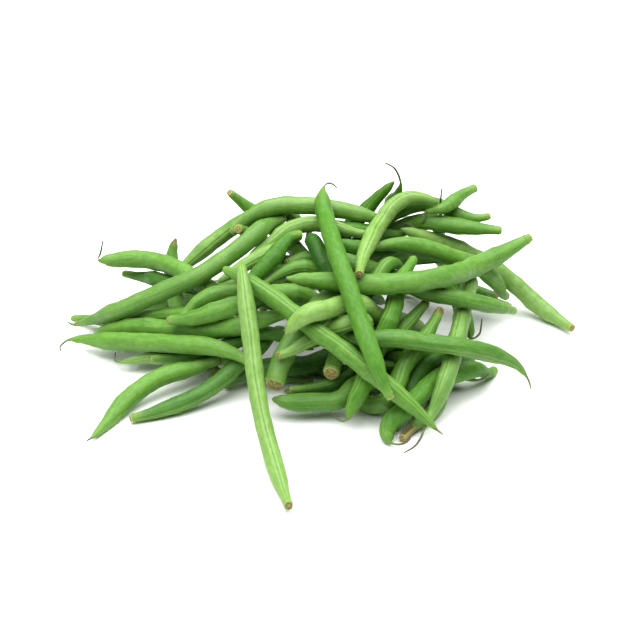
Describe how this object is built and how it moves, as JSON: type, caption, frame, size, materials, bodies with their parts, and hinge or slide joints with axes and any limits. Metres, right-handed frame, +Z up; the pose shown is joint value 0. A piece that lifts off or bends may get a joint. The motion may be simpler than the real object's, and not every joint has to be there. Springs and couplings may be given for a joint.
{
  "type": "green bean bundle",
  "caption": "Loose heap of fresh green beans, long pods lying over and beside each other as tipped out on a table.",
  "frame": {"origin": "middle of the heap's footprint, on the table", "axes": "+X to the right as seen from the front, +Y to the back, +Z up"},
  "size_m": [0.2564, 0.212, 0.0814],
  "materials": {
    "pale_green": "fresh pod skin, satin, pale yellow-green",
    "mid_green": "fresh pod skin, satin, mid green",
    "deep_green": "fresh pod skin, satin, deep bluish green"
  },
  "bodies": {
    "root": {"back_foot_left": "mid_green", "back_foot_right": "mid_green", "back_slope_left": "deep_green", "back_slope_right": "mid_green", "back_slope_down": "mid_green", "back_left_far": "mid_green", "back_left_stub": "mid_green", "left_lower": "deep_green", "back_right_far": "mid_green", "back_right_tail": "mid_green", "back_pointed": "deep_green", "back_top_tail": "deep_green", "right_second": "mid_green", "left_top": "pale_green", "left_far": "mid_green", "front_floor": "mid_green", "front_floor_cut": "deep_green", "front_floor_back": "deep_green", "right_floor_tail": "mid_green", "right_hook_tail": "deep_green", "front_left_floor": "mid_green", "front_left_second": "mid_green", "left_curled_tail": "pale_green", "left_thin": "deep_green", "left_long_tail": "mid_green", "left_behind": "mid_green", "centre_arc": "mid_green", "centre_dark_tail": "deep_green", "centre_under": "mid_green", "top_dark_tail": "deep_green", "top_under": "pale_green", "left_inner": "pale_green", "left_ring_end": "deep_green", "centre_dark": "deep_green", "left_leaf": "mid_green", "left_middle": "mid_green", "left_joined": "mid_green", "right_brown_left": "mid_green", "right_brown": "mid_green", "front_right_brown": "mid_green", "front_right_dark": "deep_green", "front_right_hook": "deep_green", "front_cut_wide": "pale_green", "front_cut_small": "mid_green", "front_upright": "deep_green", "right_upright": "pale_green", "top_arch": "pale_green", "right_long": "pale_green", "right_long_second": "mid_green", "right_thin": "mid_green", "right_arched_tail": "mid_green", "front_bright_under": "pale_green", "front_diagonal": "mid_green", "front_bright": "pale_green", "across_long": "mid_green", "left_long": "pale_green", "top_hook": "pale_green", "right_top": "mid_green", "top_upright": "deep_green", "front_long": "pale_green"}
  },
  "joints": []
}
